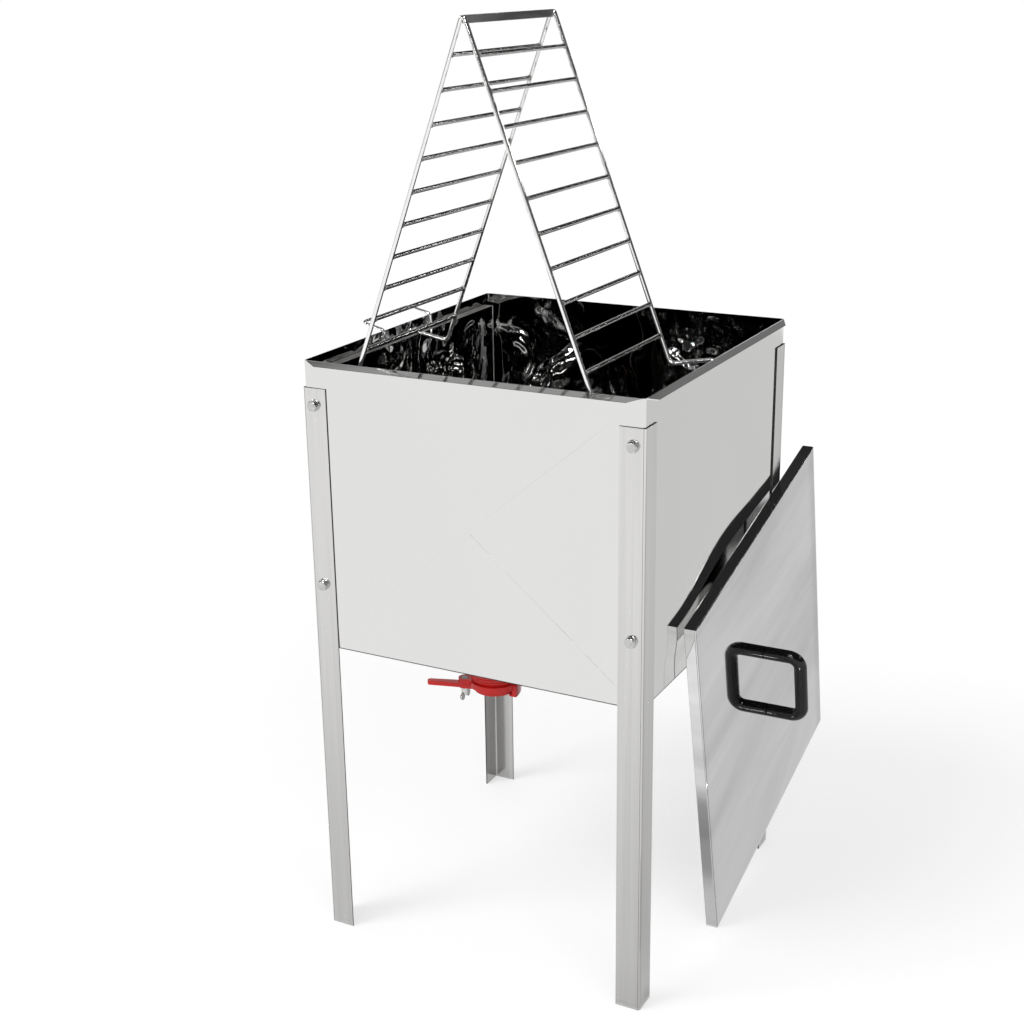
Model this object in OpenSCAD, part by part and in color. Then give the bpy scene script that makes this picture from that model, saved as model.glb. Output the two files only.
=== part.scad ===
// Uncapping tank: a sheet-steel tank on four angle legs, with a lift-out strainer,
// a ladder easel for comb frames, a gate under its floor and a loose lid leaning beside it.
// The origin is on the floor under the middle of the tank. +Z is up and -Y is the front.

/* [Tank] */
// Width of the tank over its side walls
tank_w = 500; // [460:1:560]
// Depth of the tank over its front and back walls
tank_d = 515; // [480:1:560]
// Height of the rim above the floor
rim_z = 867; // [840:1:900]
// Height of the tank's walls
wall_h = 414; // [380:1:440]
// Thickness of the tank, strainer and lid sheet
sheet = 1.2; // [0.8:0.1:1.6]
// Outside radius of the bent wall corners
corner_r = 4; // [3:0.5:8]
// How far the rim's lip reaches outwards
lip_out = 9; // [6:0.5:12]
// How far the rim's lip falls
lip_drop = 5; // [3:0.5:8]
// How far the lip's free edge is cut back at each corner
lip_cut = 18; // [8:1:30]
// Height of the floor's front edge above the lower edge of the walls
floor_lift = 4; // [2:0.5:8]
// How much higher the floor is at the back
floor_rise = 14; // [6:1:24]

/* [Legs] */
// Width of the leg angle's flanges
leg_flange = 36; // [30:1:50]
// Thickness of the leg angle
leg_t = 2; // [1.5:0.1:3]
// Outside radius of the leg angle's bend
leg_bend_r = 3; // [2:0.5:5]
// Distance from the rim down to the legs' tops
leg_top_drop = 37; // [25:1:60]
// Distance from the leg's corner to its bolts
bolt_inset = 17; // [14:0.5:22]
// Distance from the leg's top to the upper bolt
bolt_top_drop = 24; // [15:1:40]
// Distance between a leg's two bolts
bolt_pitch = 259; // [180:1:300]
// Diameter of the leg bolts
bolt_d = 8; // [6:1:10]
// Width across the flats of the bolt heads and nuts
bolt_flats = 13; // [12:0.5:16]
// Height of the bolt heads
bolt_head_h = 5.3; // [3.5:0.1:7]
// Height of the nuts
nut_h = 6.5; // [4:0.1:8]
// Diameter of the washers under the bolt heads
washer_d = 17; // [15:0.5:22]
// Thickness of the washers
washer_t = 1.5; // [0.8:0.1:2.5]

/* [Strainer] */
// Distance from the rim down to the strainer's side flanges
ledge_drop = 17; // [12:0.5:24]
// Width of the support rails on the side walls
rail_w = 14; // [10:0.5:20]
// Height of the support rails
rail_h = 14; // [8:0.5:24]
// Thickness of the support rails
rail_t = 1.5; // [1:0.1:2.5]
// Gap from the strainer to the front and back walls
strainer_end_gap = 10.5; // [10.5:0.5:30]
// Height of the strainer above the highest part of the floor
strainer_floor_gap = 10; // [4:1:40]
// Height of the strainer's front and back edges
strainer_edge_h = 50; // [20:1:120]
// Diameter of the strainer's holes
strain_hole_d = 10; // [6:0.5:16]
// Distance between the strainer's holes
strain_pitch = 32; // [28:1:50]

/* [Bail] */
// Diameter of the bail's wire
bail_wire = 5; // [4:0.5:6]
// Width of the bail between the middles of its sides
bail_w = 130; // [90:1:180]
// How far the bail's bar stands out from its pivot
bail_reach = 38; // [30:1:60]
// How far the bail's bar stands above its elbow
bail_slope = 8; // [4:1:20]
// Height of the bail's pivot above the strainer's flange
bail_pivot_h = 4.2; // [4:0.1:6]
// Thickness of the bail's lugs
lug_t = 3; // [2:0.5:5]

/* [Easel] */
// Diameter of the easel's bent rods
rod_d = 6; // [5:0.5:8]
// Diameter of the easel's rungs
rung_d = 6; // [4:0.5:8]
// Height from the easel's heels to where its sides meet
easel_h = 466; // [380:1:520]
// Width of the easel between its heels
easel_base = 350; // [280:1:380]
// Distance between the easel's front and rear rods
easel_d = 242; // [200:1:300]
// Gap from the front wall to the middle of the front rod
easel_front_gap = 14; // [13:0.5:30]
// How far the easel's heels lie below the strainer's flanges
heel_drop = 2; // [0:0.5:6]
// How far the easel's arms climb to the flanges
arm_rise = 12; // [8:0.5:18]
// Bend radius of the easel's rods at the heels
heel_r = 10; // [8:0.5:14]
// Bend radius of the easel's rods at the tips
tip_r = 7; // [5:0.5:7]
// Bend radius of the easel's rods at the ridge
ridge_r = 3.5; // [3.5:0.5:8]
// Least height of the last rungs above the easel's heels
rung_heel_gap = 34; // [20:1:60]
// Distance from the top of the easel to its first rungs
first_rung_drop = 50; // [35:1:60]
// Distance between rungs, of which there are as many as fit
rung_pitch = 42; // [20:0.5:60]
// Height of the ridge bar
ridge_h = 10; // [6:0.5:14]
// Thickness of the ridge bar
ridge_t = 5; // [3:0.5:8]

/* [Gate] */
// Distance from the front wall's face to the middle of the gate
gate_set_back = 63; // [50:1:120]
// Angle of the gate about its outlet
gate_turn = 17; // [0:1:30]
// Outside diameter of the outlet pipe
pipe_d = 48; // [40:1:52]
// Wall of the outlet pipe
pipe_wall = 3; // [2:0.5:5]
// Distance from the walls' lower edge down to the top of the gate's plate
gate_drop = 29; // [26:1:50]
// Height of the gate's neck above its plate
neck_h = 15; // [10:1:22]
// Wall of the gate's neck at its foot
neck_wall = 6.5; // [3:0.5:8]
// How much the gate's neck widens towards its top
neck_flare = 6; // [2:0.5:10]
// How far the ribs stand out of the gate's neck
neck_rib_out = 1.2; // [0.6:0.2:2]
// Radius of the gate's plate
plate_r = 35.5; // [35:0.5:45]
// Thickness of the gate's plate
plate_t = 8.5; // [6:0.5:12]
// Distance from the outlet's axis to the gate's pivot
pivot_reach = 43; // [43:0.5:56]
// Radius of the bosses round the gate's pivot
boss_r = 9; // [8:0.5:12]
// How far the pivot's boss and the shutter's guide stay below the top of the plate
boss_step = 1.5; // [0.5:0.5:1.5]
// Radius of the shutter's disc
shutter_r = 29; // [27:0.5:31]
// Thickness of the shutter
shutter_t = 6.5; // [5:0.5:10]
// Length of the shutter's lever from its pivot
lever_len = 54; // [40:1:80]
// Width of the lever at its tip
lever_tip_w = 9; // [8:0.5:14]
// Diameter of the gate's pivot bolt
pivot_d = 6; // [5:0.5:8]
// Half the angle that the shutter's guide covers, seen from the pivot
guide_half = 15; // [10:1:22]
// Angle of the wing nut against the gate
wing_turn = 75; // [0:5:180]

/* [Lid] */
// Gap between the lid and the rim's lip when the lid is on
lid_clearance = 2; // [1:0.5:5]
// Depth of the lid
lid_depth = 18; // [14:0.5:30]
// How far the leaning lid is turned on its lower corner
lid_tilt = 13; // [5:0.5:20]
// How far the leaning lid is turned away from the side wall
lid_yaw = 1; // [0:0.1:3]
// Distance from the middle of the tank forward to the corner that the lid stands on
lid_foot_forward = 21; // [0:1:60]
// Diameter of the lid handle's bar
grip_d = 20; // [14:1:24]
// Distance between the middles of the handle's posts
grip_pitch = 108; // [90:1:140]
// Distance from the lid to the middle of the handle's bar
grip_reach = 54; // [40:1:70]
// Bend radius of the handle's bar
grip_bend_r = 17; // [15:1:25]
// Diameter of the handle's screws
screw_d = 5; // [4:0.5:6]

/* [Hidden] */
$fn = 48;
// Air left between pieces that move against each other
seat_gap = 0.3;
// Radial clearance of a pin that turns in its hole
pin_gap = 0.08;
// Radial clearance of a bolt in its hole
bolt_gap = 0.2;
// How much thinner, in radius, a bent bar's straights are than its bends
bend_hair = 0.05;
// How far a bent bar's straights run into its bends
bend_lap = 0.5;
// How far a cutting shape runs past what it cuts
overrun = 1;

in_w = tank_w - 2 * sheet;
in_d = tank_d - 2 * sheet;
wall_z = rim_z - wall_h;
leg_h = rim_z - leg_top_drop;
leg_face_x = tank_w / 2 + leg_t;
leg_face_y = tank_d / 2 + leg_t;
bolt_x = leg_face_x - bolt_inset;
bolt_levels = [leg_h - bolt_top_drop, leg_h - bolt_top_drop - bolt_pitch];
bolt_tail = 2;

ledge_z = rim_z - ledge_drop;
rail_end_gap = strainer_end_gap;
flange_wall_gap = 0.5;
strainer_half = in_w / 2 - rail_w - 2 * seat_gap;
strainer_d = in_d - 2 * strainer_end_gap;
strainer_z = wall_z + floor_lift + floor_rise + sheet + strainer_floor_gap;
strain_margin = strain_pitch / 2;

pivot_x = -(strainer_half + in_w / 2) / 2;
bail_pivot_z = ledge_z + bail_pivot_h;
elbow_inset = in_w / 2 + pivot_x - bail_wire / 2 - 2 * seat_gap;
elbow_x = pivot_x - elbow_inset / 2;
elbow_z = rim_z + bail_wire / 2 + 4 * seat_gap;
elbow_r = bail_wire;
lug_r = bail_pivot_h - seat_gap / 2;
bail_bend_r = bail_wire - overrun;
bail_corner_r = 2 * bail_wire;
lug_y = bail_w / 2 - bail_bend_r - seat_gap - lug_t / 2;
pin_end_y = lug_y - lug_t / 2 - bail_wire / 2;

heel_z = ledge_z - heel_drop;
apex_z = heel_z + easel_h;
easel_front_y = -in_d / 2 + easel_front_gap;
easel_rear_y = easel_front_y + easel_d;
rod_lean = atan2(easel_base / 2, easel_h);
rung_count = 1 + floor((easel_h - first_rung_drop - rung_heel_gap) / rung_pitch);
ridge_z = apex_z - ridge_r / sin(rod_lean) + ridge_r + rod_d / 2 - ridge_h;
tip_x = (strainer_half + in_w / 2) / 2;
tip_z = ledge_z;

gate_y = -tank_d / 2 + gate_set_back;
gate_z = wall_z - gate_drop - plate_t;
pipe_r = pipe_d / 2;
bore_r = pipe_r - pipe_wall;
neck_r = pipe_r + neck_wall;
gasket_t = 2;
seal_w = 3;
seal_inset = 2;
// Width of the lever at its root, as a share of the boss
lever_root_share = 0.68;
neck_ribs = 2;
neck_rib_w = 2;
boss_h = plate_t - boss_step;
boss_drop = seat_gap + shutter_t;
guide_r = pivot_reach + shutter_r + 2 * seat_gap;
guide_proud = 0.8;
guide_wall = plate_r + pivot_reach + guide_proud - guide_r;
guide_lip = 4;
guide_lip_t = 2.4;
pivot_washer_t = 1.2;
pivot_head_h = 4;
pivot_flats = 10;
head_pocket_r = pivot_flats / 2 / cos(30) + seat_gap;
wing_hub_r = 5.5;
wing_hub_h = 8;
wing_t = 2.6;
wing_reach = 13;
wing_rise = 8;
wing_r = 5;

lid_w = tank_w + 2 * (lip_out + lid_clearance + sheet);
lid_l = tank_d + 2 * (lip_out + lid_clearance + sheet);
lid_y = -lid_foot_forward;
lid_x = leg_face_x + seat_gap + (leg_face_y - lid_y) * tan(lid_yaw) + lid_depth * cos(lid_yaw);
screw_head_d = 2 * screw_d;
screw_head_h = 3;
screw_depth = 25;
screw_washer_d = 15;
screw_washer_t = 1.2;

// Height of the floor's lower face at a distance from the middle
function floor_z(y) = wall_z + floor_lift + floor_rise * (y + in_d / 2) / in_d;

function unit(v) = v / norm(v);
// Angle between two steps of a path in space
function turn_of(a, b, c) = acos(unit(b - a) * unit(c - b));

// A rectangle with round corners
module rounded_rect(w, d, r) {
    square([w - 2 * r, d], center = true);
    square([w, d - 2 * r], center = true);
    for (sx = [-1, 1], sy = [-1, 1])
        translate([sx * (w / 2 - r), sy * (d / 2 - r)]) circle(r);
}

// A round bar bent along a path in space, with one bend radius for each inner point.
// The straights are a hair thinner than the bends that they run into.
module bent_bar(points, radii, d) {
    last = len(points) - 1;
    cuts = [for (i = [0 : last]) i == 0 || i == last ? 0 :
        radii[i - 1] * tan(turn_of(points[i - 1], points[i], points[i + 1]) / 2) - bend_lap];
    for (i = [0 : last - 1]) {
        along = unit(points[i + 1] - points[i]);
        start = points[i] + cuts[i] * along;
        end = points[i + 1] - cuts[i + 1] * along;
        translate(start) rotate([0, acos(along[2]), atan2(along[1], along[0])])
            cylinder(h = norm(end - start), d = d - 2 * bend_hair);
    }
    for (i = [1 : last - 1])
        bend(points[i - 1], points[i], points[i + 1], radii[i - 1], d);
}

// The round corner of a bent bar between two straights
module bend(before, corner, after, r, d) {
    turn = turn_of(before, corner, after);
    along = unit(corner - before);
    ahead = unit(after - corner);
    outward = -unit(ahead - (along * ahead) * along);
    normal = cross(outward, along);
    centre = corner - r * tan(turn / 2) * along - r * outward;
    multmatrix([[outward[0], along[0], normal[0], centre[0]],
                [outward[1], along[1], normal[1], centre[1]],
                [outward[2], along[2], normal[2], centre[2]],
                [0, 0, 0, 1]])
        rotate_extrude(angle = turn) translate([r, 0]) circle(d = d);
}

// A ring lying flat, with its lower face at zero
module ring(outer_r, inner_r, h) {
    difference() {
        cylinder(h = h, r = outer_r);
        translate([0, 0, -overrun]) cylinder(h = h + 2 * overrun, r = inner_r);
    }
}

// A hexagonal prism by its width across the flats
module hexagon(flats, h) {
    cylinder(h = h, d = flats / cos(30), $fn = 6);
}

// Places a child at every leg bolt, with +Z pointing out of the tank
module at_leg_bolts() {
    for (sx = [-1, 1], sy = [-1, 1], z = bolt_levels)
        translate([sx * bolt_x, sy * leg_face_y, z]) rotate([-sy * 90, 0, 0]) children();
}

// The folded strip along one side of the rim, with its wall's face at zero
module rim_lip(side) {
    half = side / 2 - corner_r;
    depth = lip_drop + 2 * sheet;
    intersection() {
        translate([-side / 2, 0, 0]) rotate([90, 0, 90]) linear_extrude(side)
            polygon([[-sheet, 0], [0, 0], [lip_out, -lip_drop], [lip_out, -lip_drop - sheet],
                     [0, -2 * sheet], [-sheet, -2 * sheet]]);
        translate([0, 0, -depth]) linear_extrude(depth + overrun)
            polygon([[-half, -sheet], [half, -sheet], [half, 0], [half - lip_cut, lip_out],
                     [lip_cut - half, lip_out], [-half, 0]]);
    }
}

module tank_shell() {
    color("gainsboro") difference() {
        union() {
            translate([0, 0, wall_z]) linear_extrude(wall_h) difference() {
                rounded_rect(tank_w, tank_d, corner_r);
                rounded_rect(in_w, in_d, corner_r - sheet);
            }
            for (turn = [0, 180])
                rotate(turn) translate([0, tank_d / 2, rim_z]) rim_lip(tank_w);
            for (turn = [90, 270])
                rotate(turn) translate([0, tank_w / 2, rim_z]) rim_lip(tank_d);
        }
        at_leg_bolts() translate([0, 0, -leg_t - sheet - overrun])
            cylinder(h = leg_t + sheet + 2 * overrun, r = bolt_d / 2 + bolt_gap);
    }
}

module tank_floor() {
    reach = in_d / 2 + overrun;
    color("silver") difference() {
        intersection() {
            translate([0, 0, wall_z]) linear_extrude(wall_h) rounded_rect(in_w, in_d, corner_r - sheet);
            translate([-tank_w / 2, 0, 0]) rotate([90, 0, 90]) linear_extrude(tank_w)
                polygon([[-reach, floor_z(-reach)], [reach, floor_z(reach)],
                         [reach, floor_z(reach) + sheet], [-reach, floor_z(-reach) + sheet]]);
        }
        translate([0, gate_y, wall_z]) cylinder(h = wall_h, r = pipe_r);
    }
}

// The angle strip on the inside of one side wall, which carries the strainer
module support_rail(side) {
    rail_len = in_d - 2 * rail_end_gap;
    top = ledge_z - sheet;
    color("silver") mirror([side < 0 ? 1 : 0, 0, 0]) {
        translate([in_w / 2 - rail_w, -rail_len / 2, top - rail_t]) cube([rail_w, rail_len, rail_t]);
        translate([in_w / 2 - rail_t, -rail_len / 2, top - rail_h])
            cube([rail_t, rail_len, rail_h - rail_t]);
    }
}

module outlet_pipe() {
    top = floor_z(gate_y + pipe_r) + sheet + seat_gap;
    bottom = gate_z + plate_t + gasket_t;
    color("silver") translate([0, gate_y, bottom]) ring(pipe_r, bore_r, top - bottom);
}

// One leg angle, whose inner corner is at zero and whose flanges run towards -X and -Y
module leg_angle() {
    inner = leg_flange - leg_t;
    linear_extrude(leg_h) difference() {
        union() {
            translate([-inner, -inner]) square([leg_flange, leg_flange - leg_bend_r]);
            translate([-inner, -inner]) square([leg_flange - leg_bend_r, leg_flange]);
            translate([leg_t - leg_bend_r, leg_t - leg_bend_r]) circle(leg_bend_r);
        }
        translate([-inner - overrun, -inner - overrun]) square(inner + overrun);
    }
}

module leg(sx, sy) {
    color("lightgray") difference() {
        translate([sx * tank_w / 2, sy * tank_d / 2, 0])
            mirror([sx < 0 ? 1 : 0, 0, 0]) mirror([0, sy < 0 ? 1 : 0, 0]) leg_angle();
        at_leg_bolts() translate([0, 0, -leg_t - overrun])
            cylinder(h = leg_t + 2 * overrun, r = bolt_d / 2 + bolt_gap);
    }
}

module leg_bolts() {
    grip = washer_t + leg_t + sheet + nut_h + bolt_tail;
    color("darkgray") at_leg_bolts() translate([0, 0, washer_t]) {
        translate([0, 0, -grip]) cylinder(h = grip, d = bolt_d);
        intersection() {
            hexagon(bolt_flats, bolt_head_h);
            cylinder(h = bolt_head_h, r1 = bolt_flats / 2 + bolt_head_h, r2 = bolt_flats / 2);
        }
    }
}

module leg_washers() {
    color("silver") at_leg_bolts() ring(washer_d / 2, bolt_d / 2 + bolt_gap, washer_t);
}

module leg_nuts() {
    color("darkgray") at_leg_bolts() translate([0, 0, -leg_t - sheet - nut_h]) difference() {
        hexagon(bolt_flats, nut_h);
        translate([0, 0, -overrun]) cylinder(h = nut_h + 2 * overrun, r = bolt_d / 2 + pin_gap);
    }
}

// A trough with a pierced bottom, which hangs by its side flanges from the support rails
module strainer_tray() {
    side_h = ledge_z - strainer_z;
    flange_w = in_w / 2 - flange_wall_gap - strainer_half;
    half_x = strainer_half - strain_margin;
    half_y = strainer_d / 2 - strain_margin;
    count_x = floor(2 * half_x / strain_pitch);
    count_y = floor(2 * half_y / strain_pitch);
    color("silver") {
        for (side = [0, 1]) mirror([side, 0, 0]) {
            translate([strainer_half - sheet, -strainer_d / 2, strainer_z])
                cube([sheet, strainer_d, side_h]);
            translate([strainer_half, -strainer_d / 2, ledge_z - sheet]) cube([flange_w, strainer_d, sheet]);
        }
        for (side = [0, 1]) mirror([0, side, 0])
            translate([-strainer_half, strainer_d / 2 - sheet, strainer_z])
                cube([2 * strainer_half, sheet, strainer_edge_h]);
        translate([0, 0, strainer_z]) linear_extrude(sheet) difference() {
            square([2 * strainer_half, strainer_d], center = true);
            for (i = [0 : count_x], j = [0 : count_y])
                translate([(i - count_x / 2) * strain_pitch, (j - count_y / 2) * strain_pitch])
                    circle(d = strain_hole_d, $fn = 24);
        }
    }
}

// Two upright ears on the strainer's left flange
module bail_lugs() {
    color("silver") for (side = [-1, 1])
        translate([pivot_x, side * lug_y + lug_t / 2, bail_pivot_z]) rotate([90, 0, 0])
            linear_extrude(lug_t) difference() {
                union() {
                    circle(lug_r);
                    translate([-lug_r, -bail_pivot_h]) square([2 * lug_r, bail_pivot_h]);
                }
                circle(bail_wire / 2 - bend_hair + pin_gap);
            }
}

// A wire loop that pivots in the lugs and lies out over the rim
module strainer_bail() {
    half = bail_w / 2;
    side = [[pivot_x, pin_end_y, bail_pivot_z], [pivot_x, half, bail_pivot_z], [elbow_x, half, elbow_z],
            [pivot_x - bail_reach, half, elbow_z + bail_slope]];
    path = concat([for (p = side) [p[0], -p[1], p[2]]], [for (i = [3 : -1 : 0]) side[i]]);
    radii = [bail_bend_r, elbow_r, bail_corner_r, bail_corner_r, elbow_r, bail_bend_r];
    color("dimgray") bent_bar(path, radii, bail_wire);
}

// One rod of the easel: tip, arm, heel, ridge and the same down the other side
module easel_rod(y) {
    half = [[easel_base / 2, y, heel_z], [tip_x, y, heel_z + arm_rise], [tip_x, y, tip_z]];
    path = concat([for (i = [2 : -1 : 0]) [-half[i][0], y, half[i][2]]], [[0, y, apex_z]], half);
    color("gray") bent_bar(path, [tip_r, heel_r, ridge_r, heel_r, tip_r], rod_d);
}

module easel_ridge() {
    color("gray") translate([-ridge_t / 2, easel_front_y + rod_d / 2, ridge_z])
        cube([ridge_t, easel_d - rod_d, ridge_h]);
}

module easel_rungs(side) {
    slope = easel_base / 2 / easel_h;
    color("gray") for (i = [0 : rung_count - 1]) {
        drop = first_rung_drop + i * rung_pitch;
        translate([side * slope * drop, easel_rear_y - rod_d / 2, apex_z - drop]) rotate([90, 0, 0])
            cylinder(h = easel_d - rod_d, d = rung_d);
    }
}

// Places the gate's pieces, with the outlet's axis and the plate's lower face at zero, and the pivot on -X
module at_gate() {
    translate([0, gate_y, gate_z]) rotate(gate_turn) children();
}

module at_pivot() {
    at_gate() translate([-pivot_reach, 0, 0]) children();
}

// The turned part of the gate: a bored plate with a seal's groove, and a ribbed neck that widens upwards
module gate_turning() {
    groove_r = bore_r + seal_inset;
    function neck_at(z) = neck_r + neck_flare * z / neck_h;
    half_rib = neck_rib_w / 2;
    ribs = [for (i = [1 : neck_ribs]) let (z = neck_h * i / (neck_ribs + 1), out = neck_at(z) + neck_rib_out)
        each [[neck_at(z - half_rib), z - half_rib], [out, z - half_rib], [out, z + half_rib],
              [neck_at(z + half_rib), z + half_rib]]];
    rotate_extrude() polygon(concat(
        [[bore_r, 0], [groove_r, 0], [groove_r, seal_w], [groove_r + seal_w, seal_w], [groove_r + seal_w, 0],
         [plate_r, 0], [plate_r, plate_t], [neck_r, plate_t]],
        [for (p = ribs) [p[0], plate_t + p[1]]],
        [[neck_at(neck_h), plate_t + neck_h], [pipe_r, plate_t + neck_h], [pipe_r, plate_t],
         [bore_r, plate_t]]));
}

module gate_body() {
    web = pivot_reach - (plate_r + bore_r + seal_inset + seal_w) / 2;
    color("crimson") at_gate() difference() {
        union() {
            gate_turning();
            translate([-pivot_reach, 0, 0]) {
                cylinder(h = boss_h, r = boss_r);
                translate([0, -boss_r, 0]) cube([web, 2 * boss_r, boss_h]);
                shutter_guide();
            }
        }
        translate([-pivot_reach, 0, -overrun]) cylinder(h = boss_h, r = pivot_d / 2 + pin_gap);
        translate([-pivot_reach, 0, boss_h - pivot_head_h])
            cylinder(h = pivot_head_h + overrun, r = head_pocket_r);
    }
}

// The hooked rim that the shutter's far edge runs in, round the pivot
module shutter_guide() {
    slot = shutter_t + 2 * seat_gap;
    rotate(-guide_half) rotate_extrude(angle = 2 * guide_half)
        polygon([[guide_r, boss_h], [guide_r, -slot], [guide_r - guide_lip, -slot],
                 [guide_r - guide_lip, -slot - guide_lip_t], [guide_r + guide_wall, -slot - guide_lip_t],
                 [guide_r + guide_wall, boss_h]]);
}

module gate_gasket() {
    color("dimgray") translate([0, gate_y, gate_z + plate_t]) ring(pipe_r, bore_r, gasket_t);
}

module gate_face_seal() {
    color("dimgray") at_gate() ring(bore_r + seal_inset + seal_w, bore_r + seal_inset, seal_w);
}

// The disc that closes the outlet, with its boss and its lever
module gate_shutter() {
    lever_root_w = 2 * boss_r * lever_root_share;
    color("crimson") at_pivot() translate([0, 0, -boss_drop]) difference() {
        linear_extrude(shutter_t) {
            translate([pivot_reach, 0]) circle(shutter_r);
            translate([0, -boss_r]) square([pivot_reach, 2 * boss_r]);
            circle(boss_r);
            translate([-lever_len + lever_tip_w / 2, 0]) circle(d = lever_tip_w);
            polygon([[0, -lever_root_w / 2], [0, lever_root_w / 2],
                     [-lever_len + lever_tip_w / 2, lever_tip_w / 2],
                     [-lever_len + lever_tip_w / 2, -lever_tip_w / 2]]);
        }
        translate([0, 0, -overrun]) cylinder(h = shutter_t + 2 * overrun, r = pivot_d / 2 + pin_gap);
    }
}

module gate_pivot_bolt() {
    seat = boss_h - pivot_head_h;
    stem = seat + boss_drop + seat_gap + pivot_washer_t + wing_hub_h + bolt_tail;
    color("silver") at_pivot() translate([0, 0, seat]) {
        hexagon(pivot_flats, pivot_head_h);
        translate([0, 0, -stem]) cylinder(h = stem, d = pivot_d);
    }
}

module gate_washer() {
    color("silver") at_pivot() translate([0, 0, -boss_drop - seat_gap - pivot_washer_t])
        ring(boss_r - overrun, pivot_d / 2 + pin_gap, pivot_washer_t);
}

module gate_wing_nut() {
    drop = boss_drop + 2 * seat_gap + pivot_washer_t + wing_hub_h;
    ear_x = wing_reach - wing_r;
    ear_z = wing_r - wing_rise;
    color("silver") at_pivot() translate([0, 0, -drop]) rotate(wing_turn) difference() {
        union() {
            cylinder(h = wing_hub_h, r = wing_hub_r);
            translate([0, wing_t / 2, 0]) rotate([90, 0, 0]) linear_extrude(wing_t) {
                for (side = [-1, 1]) translate([side * ear_x, ear_z]) circle(wing_r);
                translate([-ear_x, ear_z]) square([2 * ear_x, wing_r]);
            }
        }
        translate([0, 0, -wing_rise - overrun])
            cylinder(h = wing_rise + wing_hub_h + 2 * overrun, r = pivot_d / 2 + pin_gap);
    }
}

// Places the lid's pieces: +X is out of its face, and its lower front corner is at zero
module at_lid() {
    translate([lid_x, lid_y, 0]) rotate([lid_tilt, 0, lid_yaw]) children();
}

// Places a child at both of the handle's screws, with +X pointing out of the lid
module at_grip_screws() {
    for (side = [-1, 1])
        translate([0, lid_w / 2, lid_l / 2 + side * grip_pitch / 2]) rotate([0, 90, 0]) children();
}

module lid_pan() {
    color("lightgray") at_lid() difference() {
        translate([-lid_depth, 0, 0]) cube([lid_depth, lid_w, lid_l]);
        translate([-lid_depth - overrun, sheet, sheet])
            cube([lid_depth - sheet + overrun, lid_w - 2 * sheet, lid_l - 2 * sheet]);
        at_grip_screws() translate([0, 0, -sheet - overrun])
            cylinder(h = sheet + 2 * overrun, r = screw_d / 2 + bolt_gap);
    }
}

module lid_handle() {
    low = -grip_pitch / 2;
    color("black") at_lid() difference() {
        translate([0, lid_w / 2, lid_l / 2])
            bent_bar([[0, 0, low], [grip_reach, 0, low], [grip_reach, 0, -low], [0, 0, -low]],
                     [grip_bend_r, grip_bend_r], grip_d);
        at_grip_screws() translate([0, 0, -overrun])
            cylinder(h = screw_depth + 2 * overrun, r = screw_d / 2 + pin_gap);
    }
}

module lid_handle_screws() {
    color("silver") at_lid() at_grip_screws() translate([0, 0, -sheet - screw_washer_t]) {
        cylinder(h = sheet + screw_washer_t + screw_depth, d = screw_d);
        translate([0, 0, -screw_head_h])
            cylinder(h = screw_head_h, d1 = screw_head_d - screw_head_h, d2 = screw_head_d);
    }
}

module lid_handle_washers() {
    color("silver") at_lid() at_grip_screws() translate([0, 0, -sheet - screw_washer_t])
        ring(screw_washer_d / 2, screw_d / 2 + bolt_gap, screw_washer_t);
}

tank_shell();
tank_floor();
support_rail(-1);  // rail_left
support_rail(1);  // rail_right
outlet_pipe();
leg(-1, -1);  // leg_front_left
leg(1, -1);  // leg_front_right
leg(-1, 1);  // leg_rear_left
leg(1, 1);  // leg_rear_right
leg_bolts();
leg_washers();
leg_nuts();
strainer_tray();
bail_lugs();
strainer_bail();
easel_rod(easel_front_y);  // easel_front_rod
easel_rod(easel_rear_y);  // easel_rear_rod
easel_ridge();
easel_rungs(-1);  // easel_rungs_left
easel_rungs(1);  // easel_rungs_right
gate_body();
gate_gasket();
gate_face_seal();
gate_shutter();
gate_pivot_bolt();
gate_washer();
gate_wing_nut();
lid_pan();
lid_handle();
lid_handle_screws();
lid_handle_washers();
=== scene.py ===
"""An uncapping tank in polished sheet steel.

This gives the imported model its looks, in metres and in the model's own frame.
"""
import math

import bmesh
import bpy
from mathutils import Matrix, Vector, noise


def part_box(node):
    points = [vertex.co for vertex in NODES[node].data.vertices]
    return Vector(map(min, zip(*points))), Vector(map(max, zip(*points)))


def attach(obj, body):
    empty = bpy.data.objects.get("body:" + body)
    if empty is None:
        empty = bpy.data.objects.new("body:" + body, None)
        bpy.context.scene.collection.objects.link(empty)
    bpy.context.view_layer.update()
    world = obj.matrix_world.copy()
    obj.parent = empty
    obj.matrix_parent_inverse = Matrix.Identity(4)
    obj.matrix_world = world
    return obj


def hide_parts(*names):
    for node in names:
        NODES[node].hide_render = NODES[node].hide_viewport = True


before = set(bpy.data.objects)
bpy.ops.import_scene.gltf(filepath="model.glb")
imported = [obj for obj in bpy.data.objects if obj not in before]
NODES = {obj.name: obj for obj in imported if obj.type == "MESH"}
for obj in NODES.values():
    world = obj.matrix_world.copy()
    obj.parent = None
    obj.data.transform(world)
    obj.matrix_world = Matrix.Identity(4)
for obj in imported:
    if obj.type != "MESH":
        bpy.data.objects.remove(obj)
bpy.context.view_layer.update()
MM = 0.001

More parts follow.
